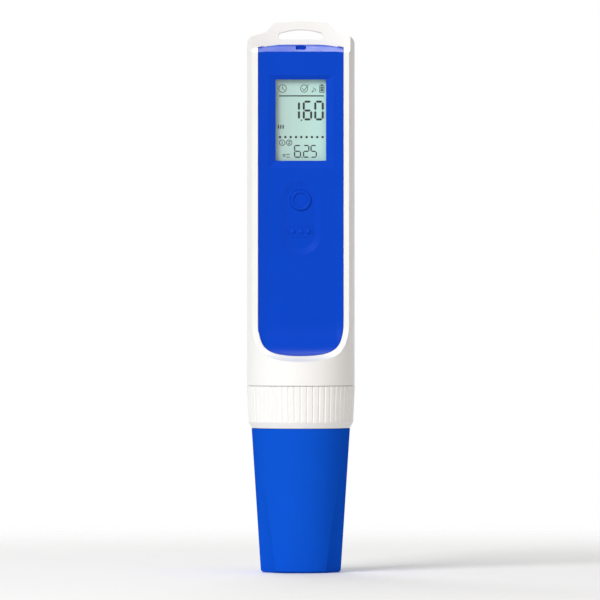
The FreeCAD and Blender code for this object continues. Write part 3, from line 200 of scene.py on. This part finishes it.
def blank_material(name):
    """New material without nodes, and the means to add them."""
    material = bpy.data.materials.new(name)
    material.use_nodes = True
    material.node_tree.nodes.clear()
    return material, Nodes(material.node_tree)


def set_world():
    """Even light from all round, seen as white by the camera, gloss and glass."""
    world = bpy.data.worlds.new("world")
    world.use_nodes = True
    world.node_tree.nodes.clear()
    bpy.context.scene.world = world
    nodes = Nodes(world.node_tree)
    path = nodes.add("ShaderNodeLightPath").outputs
    either = nodes.maths("MAXIMUM", path["Is Camera Ray"], path["Is Glossy Ray"])
    seen = nodes.maths("MAXIMUM", either, path["Is Transmission Ray"])
    strength = nodes.add("ShaderNodeMapRange", {"Value": seen, "To Min": AMBIENT, "To Max": 1.0})
    background = nodes.add("ShaderNodeBackground", {
        "Color": (1, 1, 1, 1),
        "Strength": strength.outputs["Result"],
    })
    nodes.add("ShaderNodeOutputWorld", {"Surface": background.outputs[0]})


def floor_material():
    """Pale floor, a little brighter to the camera, that fades outwards and is clear from below.

    Light that starts right on it passes as well, so that the pen's base can be seen from below.
    """
    material, nodes = blank_material("floor")
    place = nodes.add("ShaderNodeTexCoord").outputs["Object"]
    path = nodes.add("ShaderNodeLightPath").outputs
    grain = nodes.add("ShaderNodeTexNoise", {
        "Vector": place,
        "Scale": FLOOR_GRAIN,
        "Detail": GRAIN_DETAIL,
    })
    tint = nodes.add("ShaderNodeMapRange", {
        "Value": grain.outputs["Fac"],
        "To Min": FLOOR_DARKEST,
        "To Max": FLOOR_LIGHTEST,
    })
    surface = nodes.add("ShaderNodeBsdfDiffuse", {"Color": tint.outputs["Result"]})
    lift = nodes.maths("MULTIPLY", path["Is Camera Ray"], FLOOR_LIFT)
    glow = nodes.add("ShaderNodeEmission", {"Strength": lift})
    bright = nodes.add("ShaderNodeAddShader", {0: surface.outputs[0], 1: glow.outputs[0]})

    distance = nodes.add("ShaderNodeVectorMath", {0: place}, operation="LENGTH").outputs["Value"]
    fade = nodes.add("ShaderNodeMapRange", {
        "Value": distance,
        "From Min": FLOOR_FADE_START,
        "From Max": FLOOR_RADIUS,
    }, interpolation_type="SMOOTHSTEP")
    side = nodes.add("ShaderNodeNewGeometry").outputs["Backfacing"]
    near = nodes.maths("LESS_THAN", path["Ray Length"], CONTACT_REACH)
    below = nodes.maths("MAXIMUM", side, near)
    hidden = nodes.maths("MAXIMUM", fade.outputs["Result"], below)
    clear = nodes.add("ShaderNodeBsdfTransparent")
    mix = nodes.add("ShaderNodeMixShader", {"Fac": hidden, 1: bright.outputs[0], 2: clear.outputs[0]})
    nodes.add("ShaderNodeOutputMaterial", {"Surface": mix.outputs[0]})
    return material


def add_floor():
    """Round floor just below the pen, which takes its shadow."""
    bpy.ops.mesh.primitive_circle_add(vertices=FLOOR_SIDES, radius=FLOOR_RADIUS, fill_type="NGON")
    floor = bpy.context.object
    floor.name = "floor"
    floor.location.z = -FLOOR_DROP
    floor.data.materials.append(floor_material())


def linear(red, green, blue):
    """Linear colour from 0 to 255 values as a screen shows them, by the sRGB curve."""
    def channel(value):
        value = value / 255
        return value / 12.92 if value <= 0.04045 else ((value + 0.055) / 1.055) ** 2.4
    return channel(red), channel(green), channel(blue)


def surface_material(name, colour, roughness, mottle=0.04, mottle_scale=90.0, grain=0.02,
                     grain_scale=2500.0, rough_spread=0.06, edge=0.0, shader_values=None):
    """Moulded or machined surface: uneven tone, fine grain in the relief and gloss, soft edges.

    The grain's height and the radius of the soft edges are in millimetres.
    """
    material, nodes = blank_material(name)
    place = nodes.add("ShaderNodeTexCoord").outputs["Object"]
    clouds = nodes.add("ShaderNodeTexNoise", {
        "Vector": place,
        "Scale": mottle_scale,
        "Detail": CLOUD_DETAIL,
    })
    dark = tuple(channel * (1 - mottle) for channel in colour)
    light = tuple(min(channel * (1 + mottle), 1.0) for channel in colour)
    tone = nodes.add("ShaderNodeMix", {
        "Factor": clouds.outputs["Fac"],
        "A": (*dark, 1),
        "B": (*light, 1),
    }, data_type="RGBA")
    gloss = nodes.add("ShaderNodeMapRange", {
        "Value": clouds.outputs["Fac"],
        "From Min": NOISE_LOW,
        "From Max": NOISE_HIGH,
        "To Min": max(roughness - rough_spread, LOWEST_ROUGHNESS),
        "To Max": roughness + rough_spread,
    })
    fine = nodes.add("ShaderNodeTexNoise", {
        "Vector": place,
        "Scale": grain_scale,
        "Detail": GRAIN_DETAIL,
    })
    relief = nodes.add("ShaderNodeBump", {
        "Height": fine.outputs["Fac"],
        "Strength": RELIEF_STRENGTH,
        "Distance": grain * MM,
    })
    if edge:
        rounding = nodes.add("ShaderNodeBevel", {"Radius": edge * MM}, samples=EDGE_SAMPLES)
        nodes.link(rounding.outputs["Normal"], relief.inputs["Normal"])
    shader = nodes.add("ShaderNodeBsdfPrincipled", shader_values)
    nodes.link(tone.outputs["Result"], shader.inputs["Base Color"])
    nodes.link(gloss.outputs["Result"], shader.inputs["Roughness"])
    nodes.link(relief.outputs["Normal"], shader.inputs["Normal"])
    nodes.add("ShaderNodeOutputMaterial", {"Surface": shader.outputs[0]})
    return material


def display_material():
    """Reflective display with painted light: its colour is darker on the left and lighter on the right,
    and it carries a weak painted glow of the same colour.
    """
    material = surface_material("lcd", (1, 1, 1), roughness=0.35, mottle=0.01)
    nodes = Nodes(material.node_tree)
    shader = material.node_tree.nodes["Principled BSDF"]
    place = nodes.add("ShaderNodeTexCoord")
    split = nodes.add("ShaderNodeSeparateXYZ", {"Vector": place.outputs["Object"]})
    across = nodes.add("ShaderNodeMapRange", {
        "Value": split.outputs["X"],
        "From Min": -DISPLAY_HALF_WIDTH * MM,
        "From Max": DISPLAY_HALF_WIDTH * MM,
    })
    # Painted light: the display's colour runs from darker on the left to lighter on the right
    tone = nodes.add("ShaderNodeMix", {
        "Factor": across.outputs["Result"],
        "A": (*linear(184, 205, 200), 1),
        "B": (*linear(198, 232, 225), 1),
    }, data_type="RGBA")
    nodes.link(tone.outputs["Result"], shader.inputs["Base Color"])
    # Painted glow: the same left-to-right colour also makes the display glow a little
    nodes.link(tone.outputs["Result"], shader.inputs["Emission Color"])
    shader.inputs["Emission Strength"].default_value = DISPLAY_PAINTED_GLOW
    return material


def cell_material():
    """Plain dark wrap of a battery with a copper-coloured band round its upper end."""
    material = surface_material("cell_wrap", linear(34, 36, 42), roughness=0.25)
    nodes = Nodes(material.node_tree)
    shader = material.node_tree.nodes["Principled BSDF"]
    wrap = shader.inputs["Base Color"].links[0].from_socket
    low, high = (corner[2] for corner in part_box("left_cell"))
    place = nodes.add("ShaderNodeTexCoord")
    split = nodes.add("ShaderNodeSeparateXYZ", {"Vector": place.outputs["Object"]})
    band = nodes.maths("GREATER_THAN", split.outputs["Z"], low + CELL_BAND * (high - low))
    tone = nodes.add("ShaderNodeMix", {
        "Factor": band,
        "A": wrap,
        "B": (*linear(190, 112, 62), 1),
    }, data_type="RGBA")
    nodes.link(tone.outputs["Result"], shader.inputs["Base Color"])
    nodes.link(band, shader.inputs[METAL])
    return material


def pane_material():
    """Clear pane: light passes straight through, a slightly smeared gloss lies on it."""
    material, nodes = blank_material("clear_window")
    place = nodes.add("ShaderNodeTexCoord")
    smear = nodes.add("ShaderNodeTexNoise", {
        "Vector": place.outputs["Object"],
        "Scale": PANE_SMEAR,
        "Detail": CLOUD_DETAIL,
    })
    blur = nodes.add("ShaderNodeMapRange", {
        "Value": smear.outputs["Fac"],
        "To Min": PANE_CLEANEST,
        "To Max": PANE_DULLEST,
    })
    clear = nodes.add("ShaderNodeBsdfTransparent", {"Color": PANE_TINT})
    gloss = nodes.add("ShaderNodeBsdfAnisotropic", {"Roughness": blur.outputs["Result"]})
    share = nodes.add("ShaderNodeFresnel", {"IOR": PANE_REFRACTION})
    side = nodes.add("ShaderNodeNewGeometry")
    front = nodes.maths("SUBTRACT", 1.0, side.outputs["Backfacing"])
    outside = nodes.maths("MULTIPLY", share.outputs[0], front)
    mix = nodes.add("ShaderNodeMixShader", {"Fac": outside, 1: clear.outputs[0], 2: gloss.outputs[0]})
    nodes.add("ShaderNodeOutputMaterial", {"Surface": mix.outputs[0]})
    return material


def dress(frame, material, *names):
    """Give CAD nodes a material."""
    for name in names:
        for slot in frame["nodes"][name].material_slots:
            slot.material = material


def dress_white_parts(frame):
    """Housing and door, and the collar, whose ribs need a finer grain and crisper edges."""
    satin = dict(colour=linear(246, 246, 244), roughness=0.38, shader_values={GLOSS: 0.3})
    shell = surface_material("white_shell", mottle=0.012, grain=0.012, edge=0.25, **satin)
    dress(frame, shell, "housing", "battery_door")
    collar = surface_material("white_collar", mottle=0.008, grain=0.002, edge=0.08, **satin)
    dress(frame, collar, "collar_ring")
    return shell


def dress_blue_parts(frame):
    """Panel and keys, and the cap, which has no gloss."""
    panel = surface_material("blue_panel", linear(6, 69, 200), roughness=0.34, mottle=0.05,
                             edge=0.1, shader_values={GLOSS: 0.06})
    dress(frame, panel, "face_panel", "mode_key", "calibration_key")
    cap = surface_material("blue_cap", linear(15, 84, 208), roughness=0.5, mottle=0.05,
                           shader_values={GLOSS: 0.0})
    dress(frame, cap, "storage_cap")


def dress_display(frame):
    """Pane, display, the light guide behind it and the strips that connect it."""
    dress(frame, pane_material(), "display_window")
    dress(frame, display_material(), "lcd_module")
    diffuser = surface_material("diffuser", linear(228, 232, 226), roughness=0.55)
    dress(frame, diffuser, "light_guide")
    elastomer = surface_material("elastomer", linear(205, 120, 150), roughness=0.6)
    dress(frame, elastomer, "zebra_strips")


def dress_electronics(frame):
    """Board with its chips and switches, ribbon and batteries."""
    board = surface_material("board", linear(18, 88, 52), roughness=0.4, mottle=0.2, mottle_scale=400.0)
    dress(frame, board, "circuit_board")
    chips = surface_material("chips", linear(26, 26, 28), roughness=0.45)
    dress(frame, chips, "board_chips", "tactile_switches")
    ribbon = surface_material("ribbon", linear(196, 128, 52), roughness=0.4)
    dress(frame, ribbon, "signal_ribbon")
    dress(frame, cell_material(), "left_cell", "right_cell")


def dress_inner_plastics(frame):
    """Frame and tray in white, plungers and socket in black."""
    white_plastic = surface_material("white_plastic", linear(225, 225, 222), roughness=0.5)
    dress(frame, white_plastic, "lcd_frame", "battery_tray")
    dark_plastic = surface_material("dark_plastic", linear(38, 40, 44), roughness=0.5)
    dress(frame, dark_plastic, "mode_plunger", "calibration_plunger", "probe_socket")


def dress_metals(frame):
    """Bright steel, brass inserts, gilded pins and silver wire."""
    metal = {METAL: 1.0}
    steel = surface_material("steel", linear(190, 190, 188), roughness=0.28, grain=0.004,
                             shader_values=metal)
    dress(frame, steel, "board_screws", "door_screws", "battery_springs", "battery_plates",
          "temperature_sensor")
    brass = surface_material("brass", linear(196, 160, 88), roughness=0.3, grain=0.004,
                             shader_values=metal)
    dress(frame, brass, "door_inserts")
    gold = surface_material("gold_pins", linear(214, 174, 96), roughness=0.22, grain=0.003,
                            shader_values=metal)
    dress(frame, gold, "probe_pins")
    silver = surface_material("silver", linear(200, 200, 204), roughness=0.25, grain=0.003,
                              shader_values=metal)
    dress(frame, silver, "reference_wire")


def dress_seals(frame):
    """Black rubber of the gaskets and rings."""
    rubber = surface_material("seal_rubber", linear(28, 28, 29), roughness=0.65, mottle=0.1)
    dress(frame, rubber, "panel_gasket", "door_gasket", "plug_ring", "cap_ring")


def dress_probe(frame):
    """Probe body, guard and sensors."""
    body = surface_material("probe_plastic", linear(32, 34, 38), roughness=0.35)
    dress(frame, body, "probe_body")
    guard = surface_material("guard_plastic", linear(40, 42, 46), roughness=0.32)
    dress(frame, guard, "probe_guard")
    glass = surface_material("bulb_glass", (0.95, 0.98, 0.97), roughness=0.06, mottle=0.01,
                             grain=0.001, rough_spread=0.02,
                             shader_values={"Transmission Weight": 1.0, "IOR": 1.47})
    dress(frame, glass, "ph_glass")
    porous_plug = surface_material("porous_plug", linear(226, 222, 210), roughness=0.85, mottle=0.1,
                                   mottle_scale=1500.0)
    dress(frame, porous_plug, "reference_junction")
    graphite = surface_material("graphite", linear(52, 52, 55), roughness=0.5,
                                shader_values={METAL: 0.4})
    dress(frame, graphite, "conductivity_pins")


def dress_sponge(frame):
    """Open yellow foam in the cap."""
    sponge = surface_material("sponge", linear(232, 206, 92), roughness=0.9, mottle=0.25,
                              mottle_scale=900.0, grain=0.4, grain_scale=1200.0)
    dress(frame, sponge, "storage_sponge")


def add_piece(name, mesh, material, body):
    """New piece of the visual model from a bmesh, which rides on a body."""
    bmesh.ops.recalc_face_normals(mesh, faces=mesh.faces)
    data = bpy.data.meshes.new(name)
    mesh.to_mesh(data)
    mesh.free()
    data.materials.append(material)
    piece = bpy.data.objects.new(name, data)
    bpy.context.scene.collection.objects.link(piece)
    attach(piece, body)


class Drawing:
    """Flat marks in one mesh, laid out in columns and rows of the photograph."""

    def __init__(self):
        self.mesh = bmesh.new()

    def plate(self, points):
        """Thin plate with a closed outline."""
        rings = []
        for depth in (MARK_FRONT, MARK_BACK):
            ring = [self.mesh.verts.new((pixel_x(x) * MM, depth * MM, pixel_z(y) * MM)) for x, y in points]
            rings.append(ring)
        self.mesh.faces.new(rings[0])
        self.mesh.faces.new(rings[1][::-1])
        for i in range(len(points)):
            j = (i + 1) % len(points)
            self.mesh.faces.new((rings[0][i], rings[1][i], rings[1][j], rings[0][j]))

    def line(self, stroke, *points):
        """Straight bars from point to point."""
        for start, end in zip(points, points[1:]):
            start = Vector(start)
            end = Vector(end)
            along = (end - start).normalized()
            across = Vector((-along.y, along.x)) * stroke / 2
            self.plate((start + across, end + across, end - across, start - across))

    def arc(self, stroke, centre, radius, first, last):
        """Part of a ring between two angles in degrees, from the right and clockwise."""
        steps = max(int(abs(last - first) / ARC_STEP), 2)
        for i in range(steps):
            angles = [math.radians(first + (last - first) * k / steps) for k in (i, i + 1)]
            corners = []
            for angle, reach in ((angles[0], 1), (angles[1], 1), (angles[1], -1), (angles[0], -1)):
                size = radius + reach * stroke / 2
                corners.append((centre[0] + size * math.cos(angle), centre[1] + size * math.sin(angle)))
            self.plate(corners)

    def ring(self, stroke, centre, radius):
        """Whole ring."""
        self.arc(stroke, centre, radius, 0, 360)

    def dot(self, centre, radius):
        """Round spot."""
        angles = [math.tau * i / DOT_SIDES for i in range(DOT_SIDES)]
        self.plate([(centre[0] + radius * math.cos(a), centre[1] + radius * math.sin(a)) for a in angles])

    def figure(self, stroke, figure, left, top, right, bottom):
        """Seven-segment figure between four edges."""
        corner = Vector((left + stroke / 2, top + stroke / 2))
        size = Vector((right - left - stroke, (bottom - top - stroke) / 2))
        for segment in FIGURES[figure]:
            (x1, y1), (x2, y2) = SEGMENTS[segment]
            start = corner + Vector((x1 * size.x, y1 * size.y))
            end = corner + Vector((x2 * size.x, y2 * size.y))
            along = (end - start).normalized()
            across = Vector((-along.y, along.x)) * stroke / 2
            tip = along * stroke * SEGMENT_TIP
            shoulder = along * stroke * SEGMENT_SHOULDER
            self.plate((start + tip, start + shoulder + across, end - shoulder + across, end - tip,
                        end - shoulder - across, start + shoulder - across))

    def reading(self, stroke, figures, top, bottom):
        """Row of figures, each with its left and right edge."""
        for figure, left, right in figures:
            self.figure(stroke, figure, left, top, right, bottom)


def draw_rule(drawing):
    """Rule above the upper reading."""
    left = 279
    right = 323.8
    row = 96.3
    drawing.line(SMALL_STROKE, (left, row), (right, row))


def draw_unit_bars(drawing):
    """Three upright bars in place of the upper reading's unit."""
    top = 125.2
    bottom = 129
    for column in (278.6, 280.9, 283.2):
        drawing.line(SMALL_STROKE, (column, top), (column, bottom))


def draw_dot_row(drawing):
    """Row of dots between the two readings."""
    count = 9
    first_column = 280.1
    step = 5.3
    row = 137.4
    for i in range(count):
        drawing.dot((first_column + step * i, row), radius=1.2)


def draw_unit_ring(drawing):
    """Small ring with two dashes in place of the lower reading's unit."""
    left = 286.3
    right = 289.8
    drawing.ring(FINE_STROKE, centre=(284.0, 155.6), radius=1.1)
    for row in (154.6, 157.4):
        drawing.line(FINE_STROKE, (left, row), (right, row))


def draw_circled_figures(drawing):
    """A one and a two, each in a ring."""
    for centre in ((282.2, 143), (289.1, 143)):
        drawing.ring(FINE_STROKE, centre, radius=2.8)
    one = ((282.2, 141.4), (282.2, 144.7))
    two = ((288.0, 141.7), (290.1, 141.7), (290.1, 143), (288.1, 144.4), (290.3, 144.4))
    drawing.line(FINE_STROKE, *one)
    drawing.line(FINE_STROKE, *two)


def draw_clock(drawing):
    """Clock with two hands."""
    centre = (282.6, 89)
    minute_end = (282.6, 86.6)
    hour_end = (284.6, 90.4)
    drawing.ring(FINE_STROKE, centre, radius=3.8)
    drawing.line(FINE_STROKE, minute_end, centre, hour_end)


def draw_tick(drawing):
    """Ring with a tick through it."""
    tick = ((302.0, 88.6), (304.0, 91.0), (308.4, 85.2))
    drawing.ring(FINE_STROKE, centre=(304.1, 89), radius=3.6)
    drawing.line(FINE_STROKE, *tick)


def draw_signal(drawing):
    """Dot with two arcs."""
    for radius in (2.0, 4.0):
        drawing.arc(FINE_STROKE, centre=(312.2, 92.2), radius=radius, first=-80, last=-10)
    drawing.dot(centre=(312.4, 92.0), radius=0.7)


def draw_battery(drawing):
    """Full battery, its terminal at the top."""
    left = 319.6
    right = 323.9
    top = 86.2
    bottom = 92.8
    terminal_row = 85.4
    terminal_left = 320.8
    terminal_right = 322.7
    bar_left = 320.4
    bar_right = 323.1
    drawing.line(FINE_STROKE, (left, top), (right, top), (right, bottom), (left, bottom), (left, top))
    drawing.line(SMALL_STROKE, (terminal_left, terminal_row), (terminal_right, terminal_row))
    for row in (87.9, 89.5, 91.1):
        drawing.line(SMALL_STROKE, (bar_left, row), (bar_right, row))


def add_display_marks():
    """Two pieces on the display: upper reading with rule and dots, lower reading with small signs."""
    ink = surface_material("display_ink", linear(24, 36, 36), roughness=0.5, mottle=0.05)

    upper = Drawing()
    upper.reading(BIG_STROKE, UPPER_READING, top=101, bottom=120.8)
    upper.dot(centre=(301.4, 120.6), radius=0.8)
    draw_rule(upper)
    draw_unit_bars(upper)
    draw_dot_row(upper)
    add_piece("display_figures", upper.mesh, ink, "handset")

    lower = Drawing()
    lower.reading(SMALL_STROKE, LOWER_READING, top=145.2, bottom=158)
    lower.dot(centre=(302.0, 157.6), radius=0.6)
    draw_unit_ring(lower)
    draw_circled_figures(lower)
    draw_clock(lower)
    draw_tick(lower)
    draw_signal(lower)
    draw_battery(lower)
    add_piece("display_signs", lower.mesh, ink, "handset")


def add_thread(shell):
    """Ridge of the thread that the collar runs on."""
    profile = ((THREAD_ROOT, -THREAD_ROOT_RISE), (THREAD_CREST, -THREAD_CREST_RISE),
               (THREAD_CREST, THREAD_CREST_RISE), (THREAD_ROOT, THREAD_ROOT_RISE))
    mesh = bmesh.new()
    rings = []
    for i in range(THREAD_TURNS * THREAD_STEPS + 1):
        angle = math.tau * i / THREAD_STEPS
        height = THREAD_LOW + THREAD_PITCH * i / THREAD_STEPS
        ring = []
        for radius, rise in profile:
            ring.append(mesh.verts.new((radius * MM * math.cos(angle), radius * MM * math.sin(angle),
                                        (height + rise) * MM)))
        rings.append(ring)
    for lower, upper in zip(rings, rings[1:]):
        for i in range(len(profile)):
            j = (i + 1) % len(profile)
            mesh.faces.new((lower[i], lower[j], upper[j], upper[i]))
    mesh.faces.new(rings[0])
    mesh.faces.new(rings[-1][::-1])
    add_piece("spigot_thread", mesh, shell, "handset")


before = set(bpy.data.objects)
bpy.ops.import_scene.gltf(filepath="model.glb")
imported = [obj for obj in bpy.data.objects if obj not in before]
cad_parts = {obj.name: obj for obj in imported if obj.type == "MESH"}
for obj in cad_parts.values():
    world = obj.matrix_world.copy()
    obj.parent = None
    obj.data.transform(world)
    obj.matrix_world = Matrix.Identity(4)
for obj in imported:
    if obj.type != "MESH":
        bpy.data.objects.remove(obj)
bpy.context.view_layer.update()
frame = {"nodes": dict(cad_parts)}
add_camera()
set_world()
add_lights()
add_floor()

white_shell = dress_white_parts(frame)
dress_blue_parts(frame)
dress_display(frame)
dress_electronics(frame)
dress_inner_plastics(frame)
dress_metals(frame)
dress_seals(frame)
dress_probe(frame)
dress_sponge(frame)

add_display_marks()
add_thread(white_shell)

view = bpy.context.scene.view_settings
view.view_transform = "Standard"
